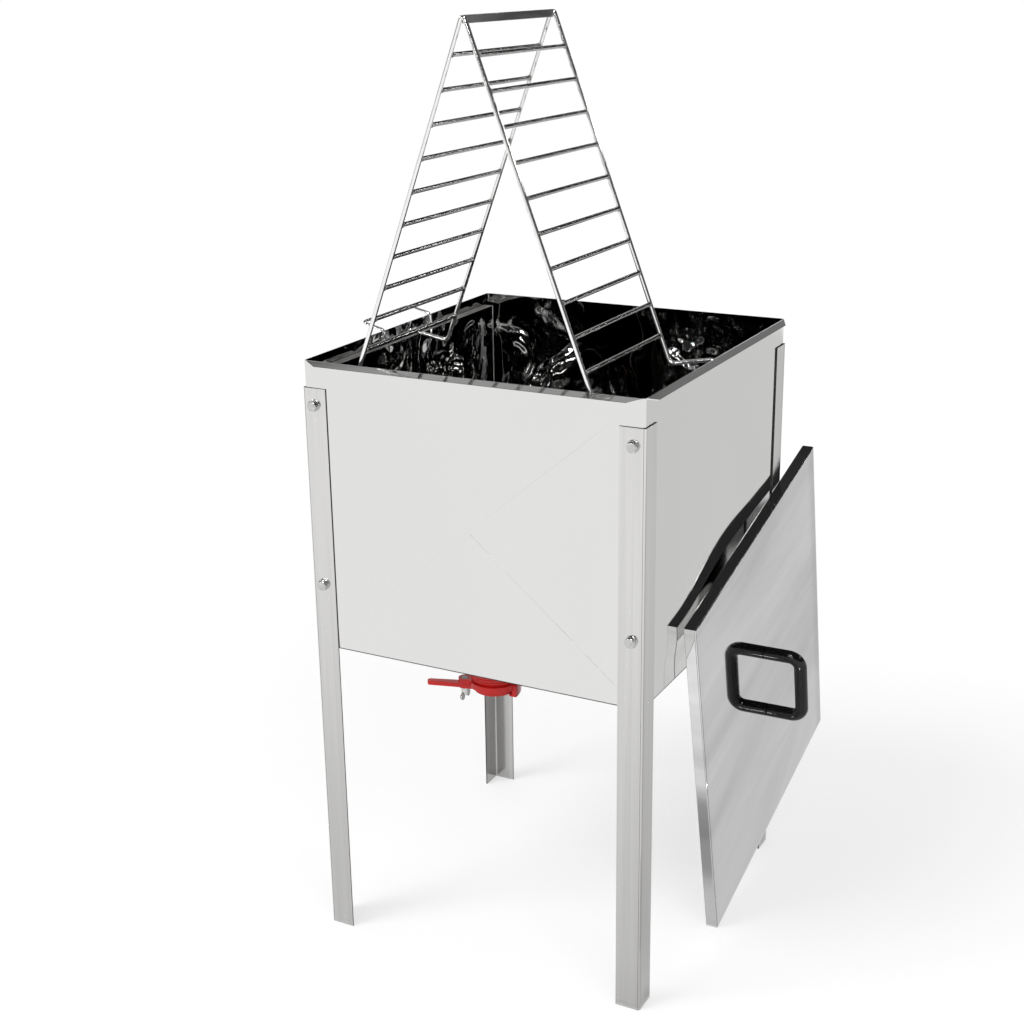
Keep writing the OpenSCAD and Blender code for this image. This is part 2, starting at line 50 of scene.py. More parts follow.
# Sizes that the pieces share with the solids, in millimetres and degrees
TANK_W, TANK_D = 500.0, 515.0
RIM_Z, WALL_H = 867.0, 414.0
WALL_Z = RIM_Z - WALL_H
SHEET, CORNER_R = 1.2, 4.0
SEAT_GAP = 0.3
LEG_T, BEND_R = 2.0, 2.5
LIP_OUT, LIP_DROP, LIP_CUT = 9.0, 5.0, 18.0
LEDGE_DROP, RAIL_W = 17.0, 14.0
LEDGE_Z = RIM_Z - LEDGE_DROP
STRAINER_HALF = TANK_W / 2 - SHEET - RAIL_W - 2 * SEAT_GAP
LEDGE_X = (STRAINER_HALF + TANK_W / 2 - SHEET) / 2
ROD_D, HEEL_R, TIP_R, RIDGE_R = 6.0, 10.0, 7.0, 3.5
EASEL_H, EASEL_BASE, EASEL_D = 466.0, 350.0, 242.0
EASEL_FRONT_GAP, HEEL_DROP, HOOK_RISE = 14.0, 2.0, 12.0
EASEL_FRONT_Y = -(TANK_D / 2 - SHEET) + EASEL_FRONT_GAP
HEEL_Z = LEDGE_Z - HEEL_DROP
APEX_Z = HEEL_Z + EASEL_H
RUNGS, FIRST_RUNG, RUNG_PITCH = 10, 50.0, 42.0
BAIL_WIRE, BAIL_W, BAIL_REACH, BAIL_SLOPE = 5.0, 130.0, 38.0, 8.0
BAIL_PIVOT_H, LUG_T = 4.2, 3.0
BAIL_BEND_R, BAIL_ELBOW_R, BAIL_CORNER_R = 4.0, 5.0, 10.0
LID_DEPTH, LID_CLEARANCE, LID_FOOT_Y = 18.0, 2.0, -21.0
LID_TILT, LID_YAW = 13.0, 1.0
LID_W = TANK_W + 2 * (LIP_OUT + LID_CLEARANCE + SHEET)
LID_L = TANK_D + 2 * (LIP_OUT + LID_CLEARANCE + SHEET)
GRIP_D, GRIP_PITCH, GRIP_REACH, GRIP_BEND = 20.0, 108.0, 54.0, 17.0
# How much thinner a bent wire is than its solid, whose bends are faceted
HAIR = 0.05


# Materials

# The bump's depths in metres, and how much finer the brushing is than the streaks
BRUSH_DEPTH, GRAIN_DEPTH, BRUSH_SHARE = 0.0004, 0.0002, 60
# Where the noise that tints a surface starts and ends
STEEL_STOPS, PLASTIC_STOPS = (0.3, 0.7), (0.35, 0.65)


def new_material(name):
    mat = bpy.data.materials.new(name)
    mat.use_nodes = True
    return mat, mat.node_tree, mat.node_tree.nodes["Principled BSDF"]


def node(tree, kind, **values):
    """A new node, with values for its sockets and its own settings."""
    made = tree.nodes.new(kind)
    for key, value in values.items():
        if key in made.inputs:
            made.inputs[key].default_value = value
        else:
            setattr(made, key, value)
    return made


def maths(tree, operation, *values):
    """The result of a Math node on numbers and sockets."""
    made = node(tree, "ShaderNodeMath", operation=operation)
    for socket, value in zip(made.inputs, values):
        if isinstance(value, float):
            socket.default_value = value
        else:
            tree.links.new(value, socket)
    return made.outputs[0]


def remap(tree, value, start, end, span=(0.0, 1.0), kind="LINEAR"):
    """Maps a value's span onto the range from start to end."""
    made = node(tree, "ShaderNodeMapRange", interpolation_type=kind, **{
        "From Min": span[0], "From Max": span[1], "To Min": start, "To Max": end})
    tree.links.new(value, made.inputs["Value"])
    return made.outputs["Result"]


def coords(tree, scale=(1, 1, 1)):
    where = node(tree, "ShaderNodeTexCoord")
    mapped = node(tree, "ShaderNodeMapping", Scale=scale)
    tree.links.new(where.outputs["Object"], mapped.inputs["Vector"])
    return mapped.outputs["Vector"]


def noise_tex(tree, vector, scale, detail=3.0, distortion=0.0, rough=0.5, kind="FBM"):
    made = node(tree, "ShaderNodeTexNoise", noise_type=kind, Scale=scale, Detail=detail,
                Roughness=rough, Distortion=distortion)
    tree.links.new(vector, made.inputs["Vector"])
    return made.outputs["Fac"]


def tinted(tree, shader, cloud, tone, share, stops, rough):
    """Colour, from a share of the tone up to the tone, and roughness, both by one noise."""
    ramp = node(tree, "ShaderNodeValToRGB")
    tones = (tuple(c * share for c in tone), tone)
    for element, place, colour in zip(ramp.color_ramp.elements, stops, tones):
        element.position = place
        element.color = (*colour, 1)
    tree.links.new(cloud, ramp.inputs["Fac"])
    tree.links.new(ramp.outputs["Color"], shader.inputs["Base Color"])
    tree.links.new(remap(tree, cloud, *rough), shader.inputs["Roughness"])


def add_bump(tree, shader, height, strength, distance):
    bump = node(tree, "ShaderNodeBump", Strength=strength, Distance=distance)
    tree.links.new(height, bump.inputs["Height"])
    tree.links.new(bump.outputs["Normal"], shader.inputs["Normal"])


def steel(name, tone, streak, rough, contrast, brush, metallic=1.0):
    """Steel with drawn-out streaks: streak says how fast they change along X, Y and Z."""
    mat, tree, shader = new_material(name)
    shader.inputs["Metallic"].default_value = metallic
    broad = noise_tex(tree, coords(tree, streak), scale=1.6, detail=4.0, distortion=0.6, rough=0.55)
    tinted(tree, shader, broad, tone, 1 - contrast, STEEL_STOPS, rough)
    brushed = coords(tree, tuple(s * BRUSH_SHARE for s in streak))
    add_bump(tree, shader, noise_tex(tree, brushed, scale=1.0, detail=2.0), brush, BRUSH_DEPTH)
    return mat


def rippled(name, tone, rough, depth, knocks, low_share=0.86, core_share=0.3, flow_share=0.3):
    """Mirror-bright sheet, pressed and knocked: long flow lines, and short waves at the knocks."""
    mat, tree, shader = new_material(name)
    shader.inputs["Metallic"].default_value = 1.0
    cloud = noise_tex(tree, coords(tree), scale=3.0, distortion=0.5)
    tinted(tree, shader, cloud, tone, low_share, STEEL_STOPS, rough)
    where = node(tree, "ShaderNodeTexCoord").outputs["Object"]
    patch = 0.0
    for place, reach in knocks:
        away = node(tree, "ShaderNodeVectorMath", operation="DISTANCE")
        tree.links.new(where, away.inputs[0])
        away.inputs[1].default_value = place
        span = (core_share * reach, reach)
        near = remap(tree, away.outputs["Value"], 1.0, 0.0, span, "SMOOTHSTEP")
        patch = maths(tree, "MAXIMUM", patch, near)
    waves = noise_tex(tree, coords(tree, (1, 1, 0.8)), scale=13.0, detail=1.0, distortion=1.3)
    short = maths(tree, "MULTIPLY", maths(tree, "SUBTRACT", waves, 0.5), patch)
    flow = noise_tex(tree, coords(tree, (1, 1, 0.7)), scale=3.4, detail=1.5, distortion=1.8,
                     kind="RIDGED_MULTIFRACTAL")
    height = maths(tree, "MULTIPLY_ADD", flow, flow_share, short)
    add_bump(tree, shader, height, 1.0, depth)
    return mat


def painted_shade_along(mat, axis, start, end, share):
    """Darkens a steel along an axis of the piece, from start to end, as painted shade."""
    tree = mat.node_tree
    base = tree.nodes["Principled BSDF"].inputs["Base Color"]
    colour = base.links[0].from_socket
    split = node(tree, "ShaderNodeSeparateXYZ")
    tree.links.new(node(tree, "ShaderNodeTexCoord").outputs["Object"], split.inputs[0])
    fade = remap(tree, split.outputs[axis], 1.0, share, (start, end), "SMOOTHSTEP")
    dim = node(tree, "ShaderNodeVectorMath", operation="SCALE")
    tree.links.new(colour, dim.inputs[0])
    tree.links.new(fade, dim.inputs["Scale"])
    tree.links.new(dim.outputs[0], base)
    return mat


def plastic(name, tone, rough, grain=0.02, variation=0.12, specular=0.5):
    mat, tree, shader = new_material(name)
    shader.inputs["Specular IOR Level"].default_value = specular
    cloud = noise_tex(tree, coords(tree), scale=35.0)
    tinted(tree, shader, cloud, tone, 1 - variation, PLASTIC_STOPS, rough)
    fine = noise_tex(tree, coords(tree), scale=900.0, detail=2.0)
    add_bump(tree, shader, fine, grain, GRAIN_DEPTH)
    return mat


# Places inside the tank with short waves, each with its reach, in metres
KNOCKS = (((-0.16, 0.256, 0.76), 0.11), ((-0.05, 0.256, 0.70), 0.09),
          ((0.12, 0.256, 0.80), 0.08), ((-0.233, 0.22, 0.78), 0.09),
          ((-0.233, 0.02, 0.79), 0.08), ((-0.249, 0.0, 0.86), 0.16))
WALL = steel("polished_wall", (0.745, 0.742, 0.735), streak=(2, 2, 1), rough=(0.03, 0.07),
             contrast=0.02, brush=0.01)
# A darker steel for the crease lines: painted shade along the creases
SEAM = steel("crease_line", (0.675, 0.672, 0.665), streak=(9, 9, 9), rough=(0.1, 0.2),
             contrast=0.08, brush=0.02)
# The front legs' steel, darker towards the bottom as painted shade
LEG = painted_shade_along(
    steel("brushed_angle", (0.715, 0.71, 0.70), streak=(70, 70, 0.9), rough=(0.06, 0.16),
          contrast=0.1, brush=0.06), "Z", start=0.75, end=0.0, share=0.71)
# The rear legs' steel: a darker copy of the front legs' as painted shade, and darker towards the
# bottom as painted shade too
REAR_LEG = painted_shade_along(
    steel("brushed_rear_angle", (0.66, 0.655, 0.645), streak=(70, 70, 0.9), rough=(0.07, 0.18),
          contrast=0.2, brush=0.06), "Z", start=0.75, end=0.0, share=0.75)
# Near-black steel for the legs' cut edges, the foot of the walls and the lid's hem: painted shade,
# as dark lines at edges and gaps
EDGE = steel("edge_painted_shade", (0.06, 0.06, 0.058), streak=(90, 90, 90), rough=(0.35, 0.5),
             contrast=0.3, brush=0.1)
# The lid's steel, darker in a band along its rear edge as painted shade
LID = painted_shade_along(
    steel("polished_lid", (0.77, 0.77, 0.77), streak=(1, 0.9, 5), rough=(0.02, 0.05),
          contrast=0.32, brush=0.02), "Y", start=0.485, end=0.52, share=0.78)
# A darker steel for the lid's fold: painted shade along the bend
FOLD = steel("fold_line", (0.3, 0.3, 0.295), streak=(9, 9, 9), rough=(0.1, 0.2),
             contrast=0.2, brush=0.02)
# The easel's wire steel in lit and shaded copies: the rods painted light, the rungs and the ridge
# painted shade
ROD = steel("rod_painted_light", (0.93, 0.93, 0.925), streak=(6, 6, 6), rough=(0.05, 0.13),
            contrast=0.1, brush=0.03, metallic=0.93)
RUNG = steel("rung_painted_shade", (0.5, 0.5, 0.495), streak=(20, 4, 20), rough=(0.1, 0.2),
             contrast=0.35, brush=0.03)
RIDGE = steel("ridge_painted_shade", (0.36, 0.36, 0.355), streak=(20, 4, 20), rough=(0.15, 0.3),
              contrast=0.5, brush=0.05, metallic=0.6)
BOLT = steel("bolt_steel", (0.64, 0.64, 0.63), streak=(90, 90, 90), rough=(0.12, 0.25),
             contrast=0.25, brush=0.06)
WELD = steel("weld_bead", (0.36, 0.35, 0.34), streak=(200, 200, 200), rough=(0.25, 0.5),
             contrast=0.4, brush=0.2)
# The inside's steel is darker than the walls' outside: painted shade in the tank's hollow
INSIDE = rippled("rippled_inside_painted_shade", (0.46, 0.46, 0.455), (0.015, 0.04), 0.035, KNOCKS)
# The strainer's flange: a lighter steel that also takes the lamps' light, as a painted reflection
# along the ledge
LEDGE = steel("ledge_painted_reflection", (0.5, 0.49, 0.48), streak=(40, 6, 40), rough=(0.25, 0.5),
              contrast=0.5, brush=0.3, metallic=0.7)
# Pale, mostly diffuse steel for strips in the strainer's inner corners: painted highlight along the
# corners
HIGHLIGHT_STRIP = steel("corner_painted_highlight", (0.88, 0.875, 0.87), streak=(60, 60, 9), rough=(0.3, 0.5),
               contrast=0.4, brush=0.2, metallic=0.35)
RED = plastic("red_gate", (0.66, 0.018, 0.016), (0.12, 0.24), specular=0.35)
BLACK = plastic("black_grip", (0.008, 0.008, 0.0085), (0.07, 0.12), grain=0.0, variation=0.3,
                specular=0.35)
RUBBER = plastic("seal_rubber", (0.03, 0.03, 0.03), (0.5, 0.7), grain=0.2)


# Mesh tools

# Points of a solid that are nearer than this, in metres, are one point
WELD_DIST = 2e-6
# Edges of a copied solid that bend less than FLAT go, and sharper than CREASED are rounded
FLAT, CREASED = 0.6, 35
# A face that looks straight along an axis, or nearly, has at least this much of its normal on it
STRAIGHT, NEARLY = 0.99, 0.9
# The rounding of a rod's ends, as a share of its radius
END_SHARE = 0.12


def quarter_turn(quarter):
    return Matrix.Rotation(math.pi / 2 * quarter, 3, "Z")


def mesh_object(name, bm, material, smooth_angle=None, place=None):
    mesh = bpy.data.meshes.new(name)
    bmesh.ops.recalc_face_normals(bm, faces=bm.faces)
    bm.to_mesh(mesh)
    bm.free()
    made = bpy.data.objects.new(name, mesh)
    bpy.context.scene.collection.objects.link(made)
    for one in material if isinstance(material, list) else [material]:
        mesh.materials.append(one)
    if smooth_angle is not None:
        mesh.polygons.foreach_set("use_smooth", [True] * len(mesh.polygons))
        mesh.set_sharp_from_angle(angle=math.radians(smooth_angle))
    if place is not None:
        made.matrix_world = place
    return made


def solid_mesh(name):
    """A copy of a solid's mesh, with its doubled points joined."""
    bm = bmesh.new()
    bm.from_mesh(NODES[name].data)
    bmesh.ops.remove_doubles(bm, verts=bm.verts, dist=WELD_DIST)
    return bm


def dressed(name, body, material, width, segments=2):
    """A copy of a solid with its edges rounded, standing for that solid."""
    bm = solid_mesh(name)
    bmesh.ops.dissolve_limit(bm, angle_limit=math.radians(FLAT), verts=bm.verts, edges=bm.edges)
    piece = mesh_object(name + "_finish", bm, material, smooth_angle=CREASED)
    rounded = piece.modifiers.new("rounded edges", "BEVEL")
    rounded.width = width * MM
    rounded.segments = segments
    rounded.limit_method = "ANGLE"
    rounded.angle_limit = math.radians(CREASED)
    rounded.harden_normals = True
    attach(piece, body)
    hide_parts(name)
    return piece


def rounded_path(points, radii, steps):
    """The points of a path with each inner corner rounded to its radius."""
    made = [Vector(points[0])]
    for before, corner, after, r in zip(points, points[1:], points[2:], radii):
        before, corner, after = Vector(before), Vector(corner), Vector(after)
        along, ahead = (corner - before).normalized(), (after - corner).normalized()
        turn = along.angle(ahead)
        inward = (ahead - along * along.dot(ahead)).normalized()
        centre = corner - along * r * math.tan(turn / 2) + inward * r
        for i in range(steps + 1):
            a = turn * i / steps
            made.append(centre + r * (math.sin(a) * along - math.cos(a) * inward))
    made.append(Vector(points[-1]))
    return made


def tube(bm, path, radius, sides, round_ends=True):
    """Sweeps a circle along a path, in millimetres, turning its frame as little as possible."""
    headings = []
    for i in range(len(path)):
        a, b = path[max(i - 1, 0)], path[min(i + 1, len(path) - 1)]
        headings.append((b - a).normalized())
    side = headings[0].orthogonal().normalized()
    rings = []

    def ring(centre, heading, r):
        nonlocal side
        side = (side - heading * side.dot(heading)).normalized()
        up = heading.cross(side)
        turns = [2 * math.pi * k / sides for k in range(sides)]
        rings.append([bm.verts.new((centre + r * (math.cos(t) * side + math.sin(t) * up)) * MM)
                      for t in turns])

    edge = END_SHARE * radius if round_ends else 0.0
    if edge:
        ring(path[0], headings[0], radius - edge)
    ring(path[0] + headings[0] * edge, headings[0], radius)
    for centre, heading in list(zip(path, headings))[1:-1]:
        ring(centre, heading, radius)
    ring(path[-1] - headings[-1] * edge, headings[-1], radius)
    if edge:
        ring(path[-1], headings[-1], radius - edge)
    for one, two in zip(rings, rings[1:]):
        for k in range(sides):
            bm.faces.new((one[k], one[(k + 1) % sides], two[(k + 1) % sides], two[k]))
    bm.faces.new(rings[0][::-1])
    bm.faces.new(rings[-1])


def bead(bm, centre, axis, radius, width, lumps, seed):
    """A small ring of weld round a joint, in millimetres."""
    rounds, sides = 18, 8
    out_share, along_share = 0.5, 0.7
    lump_scale, seed_step = 1.7, 3.7
    axis = Vector(axis).normalized()
    side = axis.orthogonal().normalized()
    up = axis.cross(side)
    grid = []
    for i in range(rounds):
        t = 2 * math.pi * i / rounds
        place = (math.cos(t) * lump_scale, math.sin(t) * lump_scale, seed * seed_step)
        swell = width * (1 + lumps * noise.noise(Vector(place)))
        out = math.cos(t) * side + math.sin(t) * up
        grid.append([bm.verts.new((Vector(centre) + out * (radius + out_share * swell * math.cos(u))
                                   + axis * along_share * swell * math.sin(u)) * MM)
                     for u in (2 * math.pi * k / sides for k in range(sides))])
    for i in range(rounds):
        one, two = grid[i], grid[(i + 1) % rounds]
        for k in range(sides):
            bm.faces.new((one[k], two[k], two[(k + 1) % sides], one[(k + 1) % sides]))


# Tank walls, with crossed creases at the front and back, bowed sides and the folded lip

# How far the sheet is pressed out, bowed out, dented in and rippled, in millimetres
CREASE, SWELL, HOLLOW, RIPPLE = 2.6, 4.6, 2.4, 1.8
# The parts of a ripple: its mean, its broad wave and its sharp folds
MEAN_SHARE, WAVE_SHARE, FOLD_SHARE = 0.5, 0.5, 0.7
# Where a side bows out and dents in, and how widely, as shares of its half width and height
SWELL_AT, SWELL_SIZE = (-0.5, -0.6), (0.4, 0.34)
HOLLOW_AT, HOLLOW_SIZE = (0.35, -0.1), (0.4, 0.5)
# How steeply the relief starts at the edges of a side's outside, its inside and the strainer
OUTER_RATE, INNER_RATE, STRAINER_RATE = 4, 6, 5
# The creases that show, by the way that they run from the middle, with their half widths
SEAM_HALVES = {(1, -1): 0.7, (-1, -1): 0.7, (1, 1): 0.55}
# How far a crease's line stands out, and how deep its sides and its back lie in the sheet
SEAM_PROUD, SEAM_SINK, SEAM_ROOT = 0.05, 0.3, 0.6
# The line's points, as shares of its way to the corner, and where and how fast it narrows
SEAM_STEPS, SEAM_END, SEAM_TAPER = (0.004, 0.25, 0.5, 0.75, 0.93), 0.97, 6
CELLS, ARC_STEPS = 44, 6
# The band along the foot of the walls, which takes the near-black edge steel as a painted line of
# shade
HEM = 1.3
WALL_ROWS = [0.0] + [HEM / WALL_H + (1 - HEM / WALL_H) * i / CELLS for i in range(CELLS + 1)]
# The lip's outline, out from the wall and up from the rim: over the bend and back underneath
LIP_BEND = ((-SHEET, -2.6), (-SHEET, -0.7), (-SHEET + 0.2, -0.2), (-SHEET + 0.7, 0.02),
            (0.1, -0.05), (0.8, -0.4))
LIP_UNDER = ((1.2, -2.05), (0.35, -2.2), (0.0, -2.6))
# Where the rounding of the lip's edge starts, and its points, out along the lip and down
LIP_EDGE = (LIP_OUT - 0.4, -LIP_DROP + 0.2)
LIP_ROUNDING = ((0.0, 0.0), (0.35, 0.25), (0.4, 0.7), (0.1, 1.1), (-0.3, 1.2))
# Facets of the creased walls are larger than this, in square metres
FACET_AREA = 1.5e-5
# Materials of the walls, in the order of their slots
ON_OUTSIDE, ON_INSIDE, ON_EDGE, ON_SEAM = range(4)


def edge_fade(u, v, rate):
    """0 at the edges of a sheet, rising to 1 inside them."""
    return min(1.0, rate * (1 - abs(u))) * min(1.0, rate * (1 - abs(v)))


def hump(u, v, at, size):
    return math.exp(-((u - at[0]) / size[0]) ** 2 - ((v - at[1]) / size[1]) ** 2)


def ripple(u, v, waves, folds, skew, seeds):
    """How far pressed sheet dips, by how fast its waves and folds change across and up."""
    wave = noise.noise(Vector((u * waves[0], v * waves[1], seeds[0])))
    fold = noise.noise(Vector((u * folds[0] + v * skew[0], v * folds[1] + u * skew[1], seeds[1])))
    return RIPPLE * (MEAN_SHARE + WAVE_SHARE * wave + FOLD_SHARE * abs(fold))


def outer_relief(quarter, u, v):
    """How far the sheet stands out at u, v, which go from -1 to 1 across a wall and up it."""
    if quarter % 2 == 0:
        return CREASE * (1 - max(abs(u), abs(v)))
    u = u if quarter == 1 else -u
    bow = SWELL * hump(u, v, SWELL_AT, SWELL_SIZE) - HOLLOW * hump(u, v, HOLLOW_AT, HOLLOW_SIZE)
    return bow * edge_fade(u, v, OUTER_RATE)


def inner_relief(quarter, u, v):
    out = outer_relief(quarter, u, v)
    if quarter % 2:
        return out  # the strainer's sides slide close by, and hide it
    dip = ripple(u, v, waves=(2.3, 1.9), folds=(3.1, 2.6), skew=(0.6, -0.5),
                 seeds=(quarter * 5.1 + 0.7, quarter * 3.3 + 4.2))
    return out - dip * edge_fade(u, v, INNER_RATE)


def wall_skin(bm, inset, relief, material):
    """One skin of the four walls with its round corners. Returns its lowest and highest loops."""
    width, depth, radius = TANK_W - 2 * inset, TANK_D - 2 * inset, CORNER_R - inset
    columns = []
    for quarter in range(4):
        turn = quarter_turn(quarter)
        across, away = (width, depth) if quarter % 2 == 0 else (depth, width)
        half, face = across / 2 - radius, -away / 2
        for i in range(CELLS + 1):
            u = 2 * i / CELLS - 1
            columns.append([bm.verts.new(turn @ Vector((
                u * half, face - relief(quarter, u, 2 * t - 1), WALL_Z + t * WALL_H)) * MM)
                for t in WALL_ROWS])
        pivot = turn @ Vector((half, face + radius, 0))
        for step in range(1, ARC_STEPS):
            a = math.pi / 2 * step / ARC_STEPS
            out = turn @ Vector((math.sin(a), -math.cos(a), 0)) * radius
            columns.append([bm.verts.new((pivot + out + Vector((0, 0, WALL_Z + t * WALL_H))) * MM)
                            for t in WALL_ROWS])
    for one, two in zip(columns, columns[1:] + columns[:1]):
        for k in range(len(WALL_ROWS) - 1):
            made = bm.faces.new((one[k], two[k], two[k + 1], one[k + 1]))
            # The lowest row of the outside takes the near-black edge steel: a painted line of shade
            made.material_index = ON_EDGE if k == 0 and material == ON_OUTSIDE else material
    return [c[0] for c in columns], [c[-1] for c in columns]


def crease_lines(bm, quarter):
    """The thin proud lines that the press leaves along a wall's diagonals."""
    turn = quarter_turn(quarter)
    half, face = TANK_W / 2 - CORNER_R, -TANK_D / 2
    rise = WALL_H / 2
    for (sx, sz), wide in SEAM_HALVES.items():
        across = Vector((-sz * rise, 0, sx * half)).normalized() * wide
        rings = []
        for t in SEAM_STEPS:
            narrow = min(1.0, (SEAM_END - t) * SEAM_TAPER)
            at = Vector((sx * half * t, face - CREASE * (1 - t), WALL_Z + rise + sz * rise * t))
            sunk = at + Vector((0, SEAM_SINK, 0))
            rings.append([bm.verts.new(turn @ p * MM) for p in (
                sunk + across * narrow, at + Vector((0, -SEAM_PROUD * narrow, 0)),
                sunk - across * narrow, at + Vector((0, SEAM_ROOT, 0)))])
        made = [bm.faces.new(rings[0]), bm.faces.new(rings[-1][::-1])]
        for one, two in zip(rings, rings[1:]):
            for k in range(4):
                made.append(bm.faces.new((one[k], one[(k + 1) % 4], two[(k + 1) % 4], two[k])))
        # The lines take the darker crease steel, as painted shade
        for one in made:
            one.material_index = ON_SEAM


def rim_lip(bm, quarter):
    """The strip folded out along one side of the rim, cut back at its ends."""
    turn = quarter_turn(quarter)
    side, away = (TANK_W, TANK_D) if quarter % 2 == 0 else (TANK_D, TANK_W)
    half, face = side / 2 - CORNER_R, -away / 2
    fall = math.atan2(LIP_DROP, LIP_OUT)
    down = Vector((-math.sin(fall), -math.cos(fall)))
    out = Vector((math.cos(fall), -math.sin(fall)))
    outline = ([Vector(p) for p in LIP_BEND]
               + [Vector(LIP_EDGE) + out * a + down * b for a, b in LIP_ROUNDING]
               + [Vector(p) for p in LIP_UNDER])
    rows = []
    for x_sign in (-1, 1):
        row = []
        for p in outline:
            reach = half - LIP_CUT * min(max(p.x / LIP_OUT, 0), 1)
            row.append(bm.verts.new(turn @ Vector((x_sign * reach, face - p.x, RIM_Z + p.y)) * MM))
        rows.append(row)
    for i in range(len(outline)):
        j = (i + 1) % len(outline)
        bm.faces.new((rows[0][i], rows[0][j], rows[1][j], rows[1][i]))
    bm.faces.new(rows[0])
    bm.faces.new(rows[1][::-1])


def tank_walls():
    bm = bmesh.new()
    low_out, high_out = wall_skin(bm, 0.0, outer_relief, ON_OUTSIDE)
    low_in, high_in = wall_skin(bm, SHEET, inner_relief, ON_INSIDE)
    for outer, inner in ((low_out, low_in), (high_out, high_in)):
        for i in range(len(outer)):
            j = (i + 1) % len(outer)
            bm.faces.new((outer[i], outer[j], inner[j], inner[i]))
    for quarter in range(4):
        rim_lip(bm, quarter)
        if quarter % 2 == 0:
            crease_lines(bm, quarter)
    piece = mesh_object("tank_walls", bm, [WALL, INSIDE, EDGE, SEAM], smooth_angle=18)
    for polygon in piece.data.polygons:
        outside = polygon.material_index == ON_OUTSIDE and abs(polygon.normal.y) > STRAIGHT
        if outside and polygon.area > FACET_AREA:
            polygon.use_smooth = False
    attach(piece, "tank")
    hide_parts("tank_shell")


tank_walls()


# Strainer, with rippled sides, a flange painted lighter as a reflection and corner strips painted
# as highlights

# Materials of the strainer, in the order of their slots, after the one for its insides
ON_LEDGE, ON_HIGHLIGHT_STRIP, ON_BACK = 1, 2, 3
# How far in from their place the faces of the flanges and of the sides' outsides may lie
FLANGE_SLACK, FLANGE_IN, BACK_IN, UPWARD = 1.0, 1.3, 0.3, 0.5
# How far a side's rippled lining stays inside the tray's edges, stands proud and is sunk in
LINING_INSET, LINING_TOP, LINING_PROUD, LINING_SINK = 1.6, 0.5, 0.05, 0.4
# The painted highlight strip at each end of a lining: its thickness, its width and how far it
# stands proud
HIGHLIGHT_STRIP_T, HIGHLIGHT_STRIP_W, HIGHLIGHT_STRIP_PROUD = 1.2, 1.3, 0.2


def lining(bm, side, ys, zs):
    """A rippled skin on the inside of one side of the tray."""
    inner = STRAINER_HALF - SHEET
    front, back = [], []
    for i in range(CELLS + 1):
        u = 2 * i / CELLS - 1
        row, rear = [], []
        for j in range(CELLS + 1):
            v = 2 * j / CELLS - 1
            y, z = ys[0] + (ys[1] - ys[0]) * i / CELLS, zs[0] + (zs[1] - zs[0]) * j / CELLS
            dip = ripple(u, v, waves=(2.1, 1.7), folds=(2.8, 2.4), skew=(-0.5, 0.4),
                         seeds=(side * 2.4 + 9.0, side * 4.1))
            x = inner - LINING_PROUD - dip * edge_fade(u, v, STRAINER_RATE)
            row.append(bm.verts.new(Vector((side * x, y, z)) * MM))
            at_edge = i in (0, CELLS) or j in (0, CELLS)
            sunk = Vector((side * (inner + LINING_SINK), y, z)) * MM
            rear.append(bm.verts.new(sunk) if at_edge else None)
        front.append(row)
        back.append(rear)
    for i in range(CELLS):
        for j in range(CELLS):
            bm.faces.new((front[i][j], front[i + 1][j], front[i + 1][j + 1], front[i][j + 1]))
    rim = ([(i, 0) for i in range(CELLS)] + [(CELLS, j) for j in range(CELLS)]
           + [(CELLS - i, CELLS) for i in range(CELLS)] + [(0, CELLS - j) for j in range(CELLS)])
    for (a, b), (c, d) in zip(rim, rim[1:] + rim[:1]):
        bm.faces.new((front[a][b], front[c][d], back[c][d], back[a][b]))
    bm.faces.new([back[a][b] for a, b in rim])
    # A pale strip at each end of the lining, as a painted highlight in the corner
    for end in ys:
        middle = Vector((side * (inner - HIGHLIGHT_STRIP_PROUD), end, (zs[0] + zs[1]) / 2))
        size = Vector((HIGHLIGHT_STRIP_T, HIGHLIGHT_STRIP_W, zs[1] - zs[0]))
        strip = bmesh.ops.create_cube(
            bm, size=1.0, matrix=Matrix.LocRotScale(middle * MM, None, size * MM))
        for face in {f for v in strip["verts"] for f in v.link_faces}:
            face.material_index = ON_HIGHLIGHT_STRIP


def strainer():
    bm = solid_mesh("strainer_tray")
    for face in bm.faces:
        middle = face.calc_center_median()
        reach = abs(middle.x) / MM - STRAINER_HALF
        outward = face.normal.x * math.copysign(1, middle.x)
        high_up = face.normal.z > UPWARD and middle.z > (LEDGE_Z - FLANGE_SLACK) * MM
        if high_up and reach > -FLANGE_IN:
            face.material_index = ON_LEDGE
        elif outward > NEARLY and reach > -BACK_IN:
            face.material_index = ON_BACK
    low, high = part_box("strainer_tray")
    ys = low[1] / MM + LINING_INSET, high[1] / MM - LINING_INSET
    zs = low[2] / MM + LINING_INSET, high[2] / MM - LINING_TOP
    for side in (-1, 1):
        lining(bm, side, ys, zs)
    piece = mesh_object("strainer_finish", bm, [INSIDE, LEDGE, HIGHLIGHT_STRIP, WALL], smooth_angle=30)
    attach(piece, "strainer")
    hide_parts("strainer_tray")


strainer()


# Easel

# How far a rung reaches into its rods, and the weld bead's place, size and lumps at its ends
RUNG_SINK, RUNG_STEPS = 0.4, 6
BEAD_IN, BEAD_SINK, BEAD_W, BEAD_LUMPS = 0.9, 0.1, 1.7, 0.5


